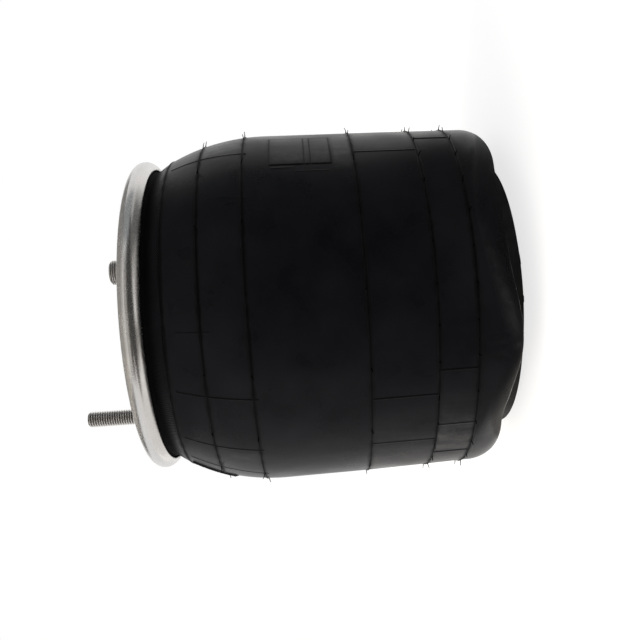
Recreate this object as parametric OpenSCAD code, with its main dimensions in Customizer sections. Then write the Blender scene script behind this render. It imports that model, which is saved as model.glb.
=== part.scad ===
// Rolling-lobe air spring. A sheet-steel bead plate with a mounting stud and an
// air stud is rolled around the upper bead of a rubber sleeve. The sleeve folds
// under itself in a lobe and runs up the wall of a moulded piston, where a steel
// closure clamps its lower bead. A rubber bumper stands on the closure.
// +Z runs from the piston's foot to the bead plate. The origin is the centre of
// the foot. All lengths are in millimetres.

/* [Overall] */
// Height from the foot to the face of the bead plate, nearly bottomed
rest_height = 273.8; // [270:0.1:285]
// Travel that is left before the bumper meets the plate
jounce = 8; // [5:0.5:14]
// Room left above the bumper at the end of that travel
bumper_room = 0.5; // [0.4:0.1:2]

/* [Bead plate] */
// Diameter over the rolled edge
plate_d = 236.6; // [232:0.1:242]
// Thickness of the steel sheet
sheet_t = 2.7; // [2:0.1:3.2]
// Outer radius of the rolled edge in section
roll_r = 7.3; // [6.8:0.1:8.5]
// Angle that the rolled edge turns through
roll_sweep = 185; // [180:1:190]

/* [Studs] */
// Thread diameter of the mounting stud
stud_d = 12.7; // [10:0.1:16]
// Length of the mounting stud above the plate
stud_reach = 60.7; // [40:0.1:80]
// Distance of the mounting stud from the axis
stud_offset = 84; // [70:0.5:88]
// Diameter of the mounting stud's head
stud_head_d = 28; // [22:0.5:32]
// Thickness of the mounting stud's head
stud_head_t = 4; // [3:0.5:5]
// Thread diameter of the air stud
air_stud_d = 19.05; // [18:0.05:24]
// Length of the air stud above the plate
air_stud_reach = 27.5; // [20:0.1:45]
// Distance of the air stud from the axis
air_stud_offset = 36; // [24:0.5:50]
// Diameter of the air stud's head
air_head_d = 34; // [28:0.5:38]
// Thickness of the air stud's head
air_head_t = 5; // [3:0.5:7]
// Diameter of the air passage through the air stud
air_bore_d = 11.1; // [8:0.1:12]
// Step from a stud's thread to the collar that fills its hole in the plate
collar_step = 1; // [0.5:0.1:2]
// Chamfer on the tips of both studs
tip_chamfer = 1.5; // [0.5:0.1:2]

/* [Sleeve] */
// Largest diameter of the sleeve
barrel_d = 264.4; // [258:0.1:270]
// Taper of the barrel towards the fold, in degrees
barrel_taper = 1.75; // [0.5:0.05:2.5]
// Radius of the shoulder below the bead plate
shoulder_r = 150; // [120:1:180]
// Bare neck between the rolled edge and the shoulder
neck_drop = 2.3; // [1.5:0.1:4]
// Height of the fold above the foot, where it hangs slack without air
lobe_lift = 13; // [6.2:0.1:16]
// Thickness of the outer cover
cover_t = 1.6; // [1.2:0.1:2]
// Thickness of each cord ply
ply_t = 0.9; // [0.6:0.1:1.2]
// Thickness of the inner liner
liner_t = 2.1; // [1.5:0.1:2.6]
// Diameter of the bead wires
wire_d = 4; // [3:0.1:4.6]

/* [Lower bead] */
// Diameter of the lower bead wire's hoop
lower_bead_d = 132; // [120:1:138]
// Radius of the lower bead in section
lower_bead_r = 4.7; // [4:0.1:5.2]
// Rubber between the lower bead wire and the plies
bead_filler = 1.3; // [1:0.1:2]
// Diameter of the end closure
closure_d = 156; // [150:1:164]
// Thickness of the end closure
closure_t = 4; // [3:0.1:5]
// Radius of the closure's turned-up edge
closure_bend_r = 5; // [3:0.5:7]

/* [Piston] */
// Diameter of the wall that the sleeve rolls on
piston_d = 190; // [184:0.5:194]
// Height of the seat for the sleeve
piston_h = 165; // [155:0.5:170]
// Rounding between the wall and the seat
seat_round = 14; // [10:0.5:16]
// Diameter of the rim below the fold
rim_d = 200; // [197:0.5:203]
// Height of the rim's widest edge
rim_edge_z = 8.2; // [6:0.1:9]
// Rounding under the rim
rim_round = 1; // [0.5:0.1:2.5]
// Room between the flare and the fold
flare_gap = 0.65; // [0.4:0.05:1]
// Diameter of the flat foot
foot_d = 152; // [144:1:160]
// Thickness of the piston's outer wall
skirt_t = 5; // [4:0.1:6]
// Thickness of the deck under the lower bead
deck_t = 9; // [7:0.5:12]
// Thickness of the ribs
rib_t = 4; // [3:0.1:5]
// Number of ribs outside the ring wall
outer_ribs = 18; // [12:1:20]
// Number of ribs inside the ring wall
inner_ribs = 12; // [8:1:14]
// Diameter at the middle of the ring wall
ring_wall_d = 112; // [106:1:120]
// Thickness of the ring wall
ring_wall_t = 4; // [3:0.1:5]
// Diameter of the central post
core_d = 44; // [40:0.5:50]
// Step from the pocket of the piston washer out to the socket below it
socket_step = 1.1; // [0.5:0.1:2]
// Height of the seat for the piston washer
nut_seat_z = 120; // [90:1:130]

/* [Bumper] */
// Diameter of the bumper's foot
bumper_d = 84; // [76:0.5:92]
// Diameter of the bumper's waist
bumper_waist_d = 66; // [56:0.5:72]
// Height of the straight bands at foot and top
bumper_band = 8; // [6:0.5:10]
// Rounding of the bumper's top edge
bumper_round = 5; // [2:0.5:6]
// Thickness of rubber under the bumper washer
bumper_base_t = 14; // [10:0.5:20]
// Diameter of the hollow above the bumper washer
bumper_hollow_d = 32; // [29:0.5:36]

/* [Centre fastening] */
// Thread diameter of the centre stud
centre_stud_d = 12.7; // [10:0.1:14]
// Stud length past each nut
stud_over = 5; // [2:0.5:8]
// Width of the nuts across their flats
nut_af = 19.05; // [18:0.05:21]
// Height of the nuts
nut_h = 11.1; // [8:0.1:13]
// Diameter of the washers
washer_d = 27; // [24:0.5:28]
// Thickness of the washers
washer_t = 2.5; // [1.5:0.1:4]
// Diameter of the compression tube
tube_d = 18; // [16.5:0.1:20]

/* [Base inserts] */
// Distance between the two inserts
insert_spacing = 101.6; // [90:0.1:110]
// Outer diameter of an insert
insert_d = 17.5; // [15:0.1:20]
// Diameter of the hole in an insert
insert_bore_d = 10.9; // [8:0.1:12]
// Length of an insert
insert_len = 25; // [18:0.5:35]
// Wall of the piston around an insert
insert_wall = 5; // [3:0.5:7]
// Depth of the hole past the insert
insert_relief = 10; // [5:0.5:20]

/* [Clearances] */
// Gap between the sleeve and the pieces that it moves against
run_gap = 0.3; // [0.2:0.05:0.5]
// Gap around a piece that sits fixed in another
fit_gap = 0.05; // [0.02:0.01:0.1]
// Gap around a stud, bolt or nut in a clearance hole
bolt_gap = 0.4; // [0.2:0.05:0.6]

/* [Hidden] */
$fn = 96;

// Straight pieces that the arcs of the sleeve and the piston are drawn with
shoulder_steps = 14;
lobe_steps = 16;
seat_steps = 8;
flare_steps = 6;
rim_steps = 6;
waist_steps = 12;
round_steps = 6;
// Length by which a cut runs past the face that it opens
cut_past = 1;
// Depth at which each boundary of the sleeve lies below its outer face
cover_depth = cover_t;
second_depth = cover_depth + ply_t;
first_depth = second_depth + ply_t;
wall_t = first_depth + liner_t;

// Rolled edge of the bead plate and the bead inside it
plate_under = rest_height - sheet_t;
roll_c = [plate_d / 2 - roll_r, rest_height - roll_r];
roll_cavity_r = roll_r - sheet_t;
upper_bead_r = roll_cavity_r - run_gap;
bead_top = plate_under - run_gap;
neck_r = roll_c[0] - roll_r * sin(roll_sweep - 180) - run_gap;
neck_z = roll_c[1] - roll_r - neck_drop;

// Shoulder arc, tangent to the barrel and ending at the neck
shoulder_axis_r = barrel_d / 2 - shoulder_r * cos(barrel_taper);
shoulder_top = acos((neck_r - shoulder_axis_r) / shoulder_r);
shoulder_c = [shoulder_axis_r, neck_z - shoulder_r * sin(shoulder_top)];
barrel_top = shoulder_c[1] - shoulder_r * sin(barrel_taper);

// Fold, tangent to the barrel outside and to the leg on the piston inside
leg_r = piston_d / 2 + run_gap;
lobe_room = barrel_d / 2 - leg_r - tan(barrel_taper) * (barrel_top - lobe_lift);
lobe_r = lobe_room / (1 + cos(barrel_taper) - tan(barrel_taper) * (1 - sin(barrel_taper)));
lobe_c = [leg_r + lobe_r, lobe_lift + lobe_r];

// Seat on the piston, the lower bead and its groove
seat_c = [piston_d / 2 - seat_round, piston_h - seat_round];
ply_seat_z = piston_h + run_gap + cover_depth;
lower_bead_c = [lower_bead_d / 2, ply_seat_z - bead_filler - wire_d / 2];
sleeve_end_r = lower_bead_c[0] - lower_bead_r;
groove_r = lower_bead_r + run_gap;
spigot_r = lower_bead_c[0] - groove_r;
deck_under = lower_bead_c[1] - groove_r - deck_t;

// Stack of pieces clamped on the piston
closure_z = piston_h + wall_t + 2 * run_gap;
closure_top = closure_z + closure_t;
bumper_top = plate_under - air_head_t - jounce - bumper_room;
bumper_seat = closure_top + bumper_base_t;
nut_under = nut_seat_z - washer_t - nut_h;
stud_foot = nut_under - stud_over;
centre_hole_d = centre_stud_d + 2 * bolt_gap;
washer_pocket_d = washer_d + 2 * bolt_gap;
socket_d = washer_pocket_d + 2 * socket_step;
socket_top = stud_foot - bolt_gap;

// Points along an arc about a centre, from one angle to another
function arc(centre, radius, from, to, steps) = [
    for (i = [0:steps])
        let (a = from + (to - from) * i / steps)
        centre + radius * [cos(a), sin(a)]
];

// A list in the opposite order
function reversed(list) = [for (i = [len(list) - 1:-1:0]) list[i]];

// Angle at which the shoulder meets the neck, at a depth below the outer face
function neck_angle(depth) =
    acos((neck_r - depth - shoulder_c[0]) / (shoulder_r - depth));

// Section line of the sleeve, from bead to bead, at a depth below its outer face
function sleeve_line(depth) = concat(
    [[neck_r - depth, bead_top]],
    arc(shoulder_c, shoulder_r - depth, neck_angle(depth), -barrel_taper, shoulder_steps),
    arc(lobe_c, lobe_r - depth, -barrel_taper, -180, lobe_steps),
    arc(seat_c, seat_round + run_gap + depth, 0, 90, seat_steps),
    [[sleeve_end_r, piston_h + run_gap + depth]]
);

// Section of one layer of the sleeve between two depths
module layer_section(outer, inner) {
    polygon(concat(sleeve_line(outer), reversed(sleeve_line(inner))));
}

// Round bead section about a centre, with room for its wire
module ring_section(centre, radius) {
    translate(centre)
        circle(r = radius);
}

// Ring with a round section
module hoop(centre, radius) {
    rotate_extrude()
        ring_section(centre, radius);
}

// Flat ring standing on z
module flat_ring(z, outer_d, inner_d, height) {
    translate([0, 0, z])
        difference() {
            cylinder(d = outer_d, h = height);
            translate([0, 0, -cut_past])
                cylinder(d = inner_d, h = height + 2 * cut_past);
        }
}

// Hexagon nut standing on z
module hex_nut(z, bore_d) {
    translate([0, 0, z])
        difference() {
            cylinder(d = nut_af / cos(30), h = nut_h, $fn = 6);
            translate([0, 0, -cut_past])
                cylinder(d = bore_d, h = nut_h + 2 * cut_past);
        }
}

// Headed stud welded through the plate, with a collar in the plate's thickness
module plate_stud(thread_d, reach, head_d, head_t) {
    thread_r = thread_d / 2;
    tip = rest_height + reach;
    rotate_extrude()
        polygon([
            [0, plate_under - head_t],
            [head_d / 2, plate_under - head_t],
            [head_d / 2, plate_under],
            [thread_r + collar_step, plate_under],
            [thread_r + collar_step, rest_height],
            [thread_r, rest_height],
            [thread_r, tip - tip_chamfer],
            [thread_r - tip_chamfer, tip],
            [0, tip]
        ]);
}

// Hole in the plate for a stud's collar
module stud_hole(offset, thread_d) {
    translate([offset, 0, plate_under - cut_past])
        cylinder(d = thread_d + 2 * (collar_step + fit_gap), h = sheet_t + 2 * cut_past);
}

// Section of the plate: a flat disc whose edge is rolled round under the bead
module plate_section() {
    reach = 2 * roll_r;
    translate([0, plate_under])
        square([roll_c[0], sheet_t]);
    translate(roll_c)
        difference() {
            circle(r = roll_r);
            circle(r = roll_cavity_r);
            polygon([
                [0, 0],
                [0, reach],
                [-reach, reach],
                [-reach, -reach],
                [-reach * sin(roll_sweep - 180), -reach * cos(roll_sweep - 180)]
            ]);
        }
}

module bead_plate() {
    color("silver")
        difference() {
            rotate_extrude()
                plate_section();
            stud_hole(-stud_offset, stud_d);
            stud_hole(air_stud_offset, air_stud_d);
        }
}

module mounting_stud() {
    color("gainsboro")
        translate([-stud_offset, 0, 0])
            plate_stud(stud_d, stud_reach, stud_head_d, stud_head_t);
}

module air_stud() {
    bore_z = plate_under - air_head_t - cut_past;
    bore_end = rest_height + air_stud_reach + cut_past;
    color("gainsboro")
        translate([air_stud_offset, 0, 0])
            difference() {
                plate_stud(air_stud_d, air_stud_reach, air_head_d, air_head_t);
                translate([0, 0, bore_z])
                    cylinder(d = air_bore_d, h = bore_end - bore_z);
            }
}

module upper_bead_wire() {
    color("darkgoldenrod")
        hoop(roll_c, wire_d / 2);
}

module lower_bead_wire() {
    color("darkgoldenrod")
        hoop(lower_bead_c, wire_d / 2);
}

// The two beads belong to the cover, outside the plies that pass them
module bead_sections() {
    ply_r = neck_r - cover_depth;
    intersection() {
        ring_section(roll_c, upper_bead_r);
        translate([ply_r, neck_z])
            square([plate_d / 2, rest_height]);
    }
    intersection() {
        ring_section(lower_bead_c, lower_bead_r);
        square([plate_d / 2, ply_seat_z]);
    }
}

module outer_cover() {
    color("black")
        difference() {
            union() {
                rotate_extrude()
                    layer_section(0, cover_depth);
                rotate_extrude()
                    bead_sections();
            }
            hoop(roll_c, wire_d / 2 + fit_gap);
            hoop(lower_bead_c, wire_d / 2 + fit_gap);
        }
}

module second_ply() {
    color("dimgray")
        rotate_extrude()
            layer_section(cover_depth, second_depth);
}

module first_ply() {
    color("gray")
        rotate_extrude()
            layer_section(second_depth, first_depth);
}

module inner_liner() {
    color("black")
        rotate_extrude()
            layer_section(first_depth, wall_t);
}

module end_closure() {
    bend_outer = closure_bend_r + closure_t;
    bend_angle = 60;
    flat_r = closure_d / 2 - bend_outer * sin(bend_angle);
    hole_r = centre_stud_d / 2 + fit_gap;
    bend_c = [flat_r, closure_z + bend_outer];
    bend_to = bend_angle - 90;
    color("silver")
        rotate_extrude() {
            translate([hole_r, closure_z])
                square([flat_r - hole_r, closure_t]);
            polygon(concat(
                arc(bend_c, bend_outer, -90, bend_to, round_steps),
                arc(bend_c, closure_bend_r, bend_to, -90, round_steps)
            ));
        }
}

module centre_stud() {
    top = bumper_seat + washer_t + nut_h + stud_over;
    color("silver")
        translate([0, 0, stud_foot])
            cylinder(d = centre_stud_d, h = top - stud_foot);
}

// Waisted rubber column with a hollow for its nut
module bumper() {
    foot_r = bumper_d / 2;
    waist_in = (bumper_d - bumper_waist_d) / 2;
    half_waist = (bumper_top - closure_top) / 2 - bumper_band;
    waist_r = (half_waist * half_waist + waist_in * waist_in) / (2 * waist_in);
    waist_c = [foot_r - waist_in + waist_r, (bumper_top + closure_top) / 2];
    waist_a = asin(half_waist / waist_r);
    edge_c = [foot_r - bumper_round, bumper_top - bumper_round];
    hollow_r = bumper_hollow_d / 2;
    bore_r = centre_hole_d / 2;
    color("dimgray")
        rotate_extrude()
            polygon(concat(
                [[bore_r, closure_top], [foot_r, closure_top]],
                arc(waist_c, waist_r, 180 + waist_a, 180 - waist_a, waist_steps),
                arc(edge_c, bumper_round, 0, 90, round_steps),
                [[hollow_r, bumper_top], [hollow_r, bumper_seat], [bore_r, bumper_seat]]
            ));
}

module bumper_washer() {
    color("silver")
        flat_ring(bumper_seat, washer_d, centre_hole_d, washer_t);
}

module bumper_nut() {
    color("silver")
        hex_nut(bumper_seat + washer_t, centre_stud_d + 2 * fit_gap);
}

// Solid of revolution that the piston's cells are cut from
module piston_body_section() {
    rim_r = rim_d / 2;
    wall_r = piston_d / 2;
    flare_r = lobe_r + flare_gap;
    rim_a = acos((rim_r - lobe_c[0]) / flare_r);
    wall_a = acos((wall_r - lobe_c[0]) / flare_r);
    difference() {
        polygon(concat(
            [[0, 0], [foot_d / 2, 0]],
            arc([rim_r - rim_round, rim_edge_z], rim_round, -90, 0, rim_steps),
            arc(lobe_c, flare_r, -rim_a, -wall_a, flare_steps),
            arc(seat_c, seat_round, 0, 90, seat_steps),
            [[spigot_r, piston_h], [spigot_r, closure_z], [0, closure_z]]
        ));
        ring_section(lower_bead_c, groove_r);
        translate([spigot_r, lower_bead_c[1]])
            square([2 * groove_r, piston_h]);
    }
}

// Spokes across the piston, used to divide its cells
module spokes(count) {
    for (i = [0:count - 1])
        rotate(i * 360 / count)
            translate([0, -rib_t / 2])
                square([piston_d, rib_t]);
}

// Outline of one ring of cells between two radii
module cell_ring(inner_r, outer_r, count) {
    difference() {
        circle(r = outer_r);
        circle(r = inner_r);
        spokes(count);
        for (side = [-1, 1])
            translate([side * insert_spacing / 2, 0])
                circle(d = insert_d + 2 * insert_wall);
    }
}

module piston() {
    ring_in = (ring_wall_d - ring_wall_t) / 2;
    ring_out = (ring_wall_d + ring_wall_t) / 2;
    color([0.08, 0.08, 0.09])
        difference() {
            rotate_extrude()
                piston_body_section();
            translate([0, 0, -cut_past])
                linear_extrude(height = deck_under + cut_past) {
                    cell_ring(ring_out, piston_d / 2 - skirt_t, outer_ribs);
                    cell_ring(core_d / 2, ring_in, inner_ribs);
                }
            translate([0, 0, -cut_past]) {
                cylinder(d = socket_d, h = socket_top + cut_past);
                cylinder(d = washer_pocket_d, h = nut_seat_z + cut_past);
            }
            cylinder(d = tube_d + 2 * fit_gap, h = closure_z + cut_past);
            for (side = [-1, 1])
                translate([side * insert_spacing / 2, 0, -cut_past]) {
                    cylinder(d = insert_d + 2 * fit_gap, h = insert_len + cut_past);
                    cylinder(d = insert_bore_d + 2 * bolt_gap, h = insert_len + insert_relief);
                }
        }
}

module compression_tube() {
    color("silver")
        flat_ring(nut_seat_z, tube_d, centre_hole_d, closure_z - nut_seat_z);
}

module piston_washer() {
    color("silver")
        flat_ring(nut_seat_z - washer_t, washer_d, centre_hole_d, washer_t);
}

module piston_nut() {
    color("silver")
        hex_nut(nut_under, centre_stud_d + 2 * fit_gap);
}

// Insert in the foot, on one side of the central post
module base_insert(side) {
    translate([side * insert_spacing / 2, 0, 0])
        flat_ring(0, insert_d, insert_bore_d, insert_len);
}

module base_insert_left() {
    color("goldenrod")
        base_insert(-1);
}

module base_insert_right() {
    color("goldenrod")
        base_insert(1);
}

bead_plate();
mounting_stud();
air_stud();
upper_bead_wire();
outer_cover();
second_ply();
first_ply();
inner_liner();
lower_bead_wire();
end_closure();
centre_stud();
bumper();
bumper_washer();
bumper_nut();
piston();
compression_tube();
piston_washer();
piston_nut();
base_insert_left();
base_insert_right();
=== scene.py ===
"""Visual model of a rolling-lobe air spring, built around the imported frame.

Shapes are worked out in millimetres, in the frame's axes, and scaled to metres
when a mesh is made. +Z runs from the piston's foot to the bead plate.
"""

import logging
import math
from dataclasses import dataclass, replace
from enum import Enum
from typing import Any, Sequence

import bpy
import numpy as np
from bpy.types import Material, Mesh, Node, NodeSocket, Object
from mathutils import Matrix, Vector


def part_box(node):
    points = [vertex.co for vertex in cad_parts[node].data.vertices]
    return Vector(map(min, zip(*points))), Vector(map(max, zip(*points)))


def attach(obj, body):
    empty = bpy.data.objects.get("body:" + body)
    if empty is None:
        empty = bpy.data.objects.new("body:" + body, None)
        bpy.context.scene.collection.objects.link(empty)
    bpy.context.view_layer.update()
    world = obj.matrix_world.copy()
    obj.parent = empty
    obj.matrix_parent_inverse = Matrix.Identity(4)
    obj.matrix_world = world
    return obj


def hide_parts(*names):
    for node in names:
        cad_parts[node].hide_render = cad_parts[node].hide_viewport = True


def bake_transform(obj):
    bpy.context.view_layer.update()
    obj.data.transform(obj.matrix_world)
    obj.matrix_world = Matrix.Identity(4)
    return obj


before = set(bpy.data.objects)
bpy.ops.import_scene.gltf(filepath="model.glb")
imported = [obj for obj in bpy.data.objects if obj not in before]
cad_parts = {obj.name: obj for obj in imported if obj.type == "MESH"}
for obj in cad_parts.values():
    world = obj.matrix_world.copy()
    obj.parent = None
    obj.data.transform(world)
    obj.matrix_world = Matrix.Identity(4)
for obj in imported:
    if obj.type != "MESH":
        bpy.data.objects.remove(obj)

LOG = logging.getLogger("air_spring")
MM = 0.001
SEED = 17
HALF_TURN = 180.0
Array = np.ndarray
Colour = tuple[float, float, float, float]
Point = tuple[float, float]
Place = tuple[float, float, float]


class Space(Enum):
    """Where a finish takes its texture positions from."""

    OBJECT = "object"
    REST = "rest_mm"


class Brush(Enum):
    """Direction in which a metal finish is worked."""

    AROUND = "around the part's axis"
    NONE = "no direction"


def grey(level: float, warm: float = 0.0) -> Colour:
    """Neutral linear colour, a little redder and less blue where warm is above zero."""
    return (level * (1 + warm), level, level * (1 - warm), 1.0)


def node_box(node: str) -> tuple[Array, Array]:
    """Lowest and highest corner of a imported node, in millimetres."""
    low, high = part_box(node)
    return np.array(low) / MM, np.array(high) / MM


def table(kind: type, *rows: Sequence[float]) -> tuple[Any, ...]:
    """One object of that kind for each row of its values."""
    return tuple(kind(*row) for row in rows)


def along(angle: Array, points: Sequence[Point]) -> Array:
    """Values at each angle, on straight lines between the given angles and values."""
    return np.interp(angle, *np.transpose(points))


def bell(away: Any, width: float) -> Any:
    """One at zero, fading on both sides within about that width."""
    return np.exp(-((away / width) ** 2))


def hump(away: Array, width: Any) -> Array:
    """Section of a rounded ridge of height one, which ends at that width on both sides."""
    return np.clip(1.0 - (away / width) ** 2, 0.0, 1.0) ** 1.5


class NodeBoard:
    """A material's node tree, with short calls for the nodes that the finishes share."""

    def __init__(self, name: str) -> None:
        """Makes an empty material of that name."""
        self.material = bpy.data.materials.new(name)
        self.material.use_nodes = True
        self.tree = self.material.node_tree
        self.shader = self.tree.nodes["Principled BSDF"]

    def feed(self, socket: NodeSocket, value: Any) -> None:
        """Links another socket to this one, or sets its own value."""
        if isinstance(value, NodeSocket):
            self.tree.links.new(value, socket)
        else:
            socket.default_value = value

    def add(self, kind: str, inputs: dict[Any, Any], **settings: Any) -> Node:
        """Adds one node.

        Args:
            kind: Blender's name of the node's type.
            inputs: socket names or places, with what feeds them.
            settings: properties of the node.

        Returns:
            The new node.
        """
        made = self.tree.nodes.new(kind)
        for key, value in settings.items():
            setattr(made, key, value)
        for key, value in inputs.items():
            self.feed(made.inputs[key], value)
        return made

    def position(self, space: Space) -> NodeSocket:
        """Position on the piece in millimetres, either now or at rest."""
        if space is Space.REST:
            return self.add("ShaderNodeAttribute", {}, attribute_name=space.value).outputs["Vector"]
        place = self.add("ShaderNodeTexCoord", {}).outputs["Object"]
        return self.stretch(place, (1 / MM, 1 / MM, 1 / MM))

    def mask(self, name: str) -> NodeSocket:
        """Value of a point attribute of the mesh."""
        return self.add("ShaderNodeAttribute", {}, attribute_name=name).outputs["Fac"]

    def stretch(self, vector: Any, scale: Sequence[float]) -> NodeSocket:
        """Vector multiplied by one factor for each axis."""
        return self.add("ShaderNodeVectorMath", {0: vector, 1: scale}, operation="MULTIPLY").outputs[0]

    def noise(self, vector: Any, scale: float, detail: float, rough: float) -> NodeSocket:
        """Fractal noise between 0 and 1 with that many cells to a millimetre."""
        inputs = {"Vector": vector, "Scale": scale, "Detail": detail, "Roughness": rough}
        return self.add("ShaderNodeTexNoise", inputs).outputs[0]

    def cloud(self, noise: Sequence[Any], low: float, high: float) -> NodeSocket:
        """Fractal noise whose levels from low to high are spread from 0 to 1."""
        return self.remap(self.noise(*noise), low, high)

    def remap(
        self, value: Any, low: float, high: float, to_low: float = 0.0, to_high: float = 1.0
    ) -> NodeSocket:
        """Value moved from one range to another and held inside it."""
        inputs = {"Value": value, "From Min": low, "From Max": high, "To Min": to_low, "To Max": to_high}
        return self.add("ShaderNodeMapRange", inputs).outputs[0]

    def maths(self, operation: str, first: Any, second: Any = 0.0) -> NodeSocket:
        """One operation on two values."""
        return self.add("ShaderNodeMath", {0: first, 1: second}, operation=operation).outputs[0]

    def times(self, first: Any, second: Any) -> NodeSocket:
        """Product of two values."""
        return self.maths("MULTIPLY", first, second)

    def plus(self, value: Any, extra: Any, share: float) -> NodeSocket:
        """Value with a share of another added to it."""
        return self.maths("ADD", value, self.times(extra, share))

    def mix(self, factor: Any, first: Any, second: Any) -> NodeSocket:
        """Colour between two colours."""
        inputs = {0: factor, 6: first, 7: second}
        return self.add("ShaderNodeMix", inputs, data_type="RGBA").outputs[2]

    def tint(self, colour: Any, mask: Any, share: float, over: Colour) -> NodeSocket:
        """Colour with a share of another laid over it where the mask is one."""
        return self.mix(self.times(mask, share), colour, over)

    def bump(self, height: Any, distance: float, normal: Any = None) -> NodeSocket:
        """Normal tilted by a height field whose full step is that many millimetres."""
        inputs = {"Height": height, "Distance": distance * MM}
        if normal is not None:
            inputs["Normal"] = normal
        return self.add("ShaderNodeBump", inputs).outputs[0]

    def polar(self, vector: Any) -> tuple[NodeSocket, ...]:
        """Turns a position into one about the part's axis.

        Args:
            vector: position on the piece.

        Returns:
            Angle in turns, radius and height.
        """
        x, y, z = self.add("ShaderNodeSeparateXYZ", {0: vector}).outputs
        angle = self.maths("DIVIDE", self.maths("ARCTAN2", y, x), math.tau)
        squares = self.maths("ADD", self.maths("POWER", x, 2.0), self.maths("POWER", y, 2.0))
        return angle, self.maths("SQRT", squares), z

    def combine(self, first: Any, second: Any, third: Any) -> NodeSocket:
        """Vector made of three values."""
        return self.add("ShaderNodeCombineXYZ", {0: first, 1: second, 2: third}).outputs[0]

    def edges(self, low: float, high: float) -> NodeSocket:
        """One on sharp outer edges and zero elsewhere."""
        point = self.add("ShaderNodeNewGeometry", {}).outputs["Pointiness"]
        return self.remap(point, low, high)

    def dress(self, **sockets: Any) -> Material:
        """Feeds the shader's sockets, named with _ for a space, and returns the material."""
        for key, value in sockets.items():
            self.feed(self.shader.inputs[key.replace("_", " ")], value)
        return self.material


@dataclass(frozen=True)
class RubberFinish:
    """Moulded black rubber with a fine grain, dull patches and faint dust."""

    name: str
    space: Space = Space.OBJECT
    dark: float = 0.0020
    light: float = 0.0036
    dust: float = 0.008
    dust_share: float = 0.22
    smooth: float = 0.24
    rough: float = 0.34
    gloss: float = 0.06
    grain: float = 0.005
    waves: float = 0.010
    blue: float = 1.32
    has_ridges: bool = False
    # Pale colour of the painted sheen, also used for dust.
    sheen_and_dust: Colour = grey(0.630, -0.02)
    # Painted shade on and beside the mould lines and the panel's lines.
    line_painted_shade: Colour = grey(0.0007)
    # Painted shade on the neck under the plate's lip, ramping in over the heights neck_z.
    neck_painted_shade: Colour = grey(0.0010)
    neck_z: Point = (248.0, 254.0)
    weave_z: Point = (243.5, 247.5)
    weave_depth: float = 0.16
    cords: float = 420.0
    cord_slant: float = 0.42

    def shade(self, level: float) -> Colour:
        """Black of the rubber, a little blue."""
        return (level, level, level * self.blue, 1.0)

    def build(self) -> Material:
        """Builds the material."""
        board = NodeBoard(self.name)
        place = board.position(self.space)
        mottle = board.cloud((place, 0.04, 3.0, 0.5), 0.28, 0.72)
        cloud = board.cloud((place, 0.016, 3.0, 0.5), 0.30, 0.80)
        scuff = board.cloud((board.stretch(place, (0.22, 0.22, 0.025)), 1.0, 7.0, 0.72), 0.56, 0.74)
        dusty = board.times(board.maths("MAXIMUM", cloud, scuff), self.dust_share)
        colour = board.mix(mottle, self.shade(self.dark), self.shade(self.light))
        colour = board.mix(dusty, colour, self.shade(self.dust))
        rough = board.plus(board.remap(mottle, 0.0, 1.0, self.smooth, self.rough), dusty, 0.06)
        normal = board.bump(board.noise(place, 1.6, 3.0, 0.6), self.grain)
        normal = board.bump(board.noise(place, 0.16, 2.0, 0.4), self.waves, normal)
        if self.has_ridges:
            colour, rough = self.age(board, place, colour, rough)
            normal = board.bump(self.weave(board, place), self.weave_depth, normal)
        return board.dress(
            Base_Color=colour, Roughness=rough, Normal=normal, Specular_IOR_Level=self.gloss
        )

    def age(self, board: NodeBoard, place: Any, colour: Any, rough: Any) -> tuple[NodeSocket, NodeSocket]:
        """Lays pale painted sheen and dust, and painted shade on and beside the mould lines and on the neck.

        Args:
            board: nodes of the material.
            place: position on the piece, in millimetres.
            colour: colour of the clean rubber.
            rough: roughness of the clean rubber.

        Returns:
            The new colour and roughness.
        """
        smear = board.noise(board.stretch(place, (0.08, 0.08, 0.02)), 1.0, 5.0, 0.6)
        speckle = board.noise(place, 0.22, 4.0, 0.65)
        # Mask of pale colour: painted sheen and highlights, with some dust and a scrape, broken up by noise.
        sheen_and_dust = board.times(board.mask("dust_and_painted_sheen"), board.remap(smear, 0.35, 0.65, 0.3, 1.0))
        sheen_and_dust = board.times(sheen_and_dust, board.remap(speckle, 0.36, 0.64, 0.55, 1.0))
        ridge = board.mask("ridge")
        # Painted shade: the neck darkens and dulls towards the plate's lip, which overhangs it.
        neck = board.remap(board.polar(place)[2], *self.neck_z)
        colour = board.mix(sheen_and_dust, colour, self.sheen_and_dust)
        # Painted shade on and beside the mould lines and along the panel's border and dividers.
        colour = board.tint(colour, ridge, 0.95, self.line_painted_shade)
        colour = board.tint(colour, neck, 0.7, self.neck_painted_shade)
        return colour, board.plus(board.plus(rough, ridge, 0.3), neck, 0.45)

    def weave(self, board: NodeBoard, place: Any) -> NodeSocket:
        """Draws the slanting cord marks on the neck of the sleeve.

        Args:
            board: nodes of the material.
            place: position on the piece, in millimetres.

        Returns:
            A height field from 0 to 1.
        """
        angle, _, height = board.polar(place)
        slant = board.plus(board.times(angle, self.cords), height, self.cord_slant)
        wave = board.remap(board.maths("SINE", board.times(slant, math.tau)), -1.0, 1.0)
        return board.times(wave, board.remap(height, *self.weave_z))


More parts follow.
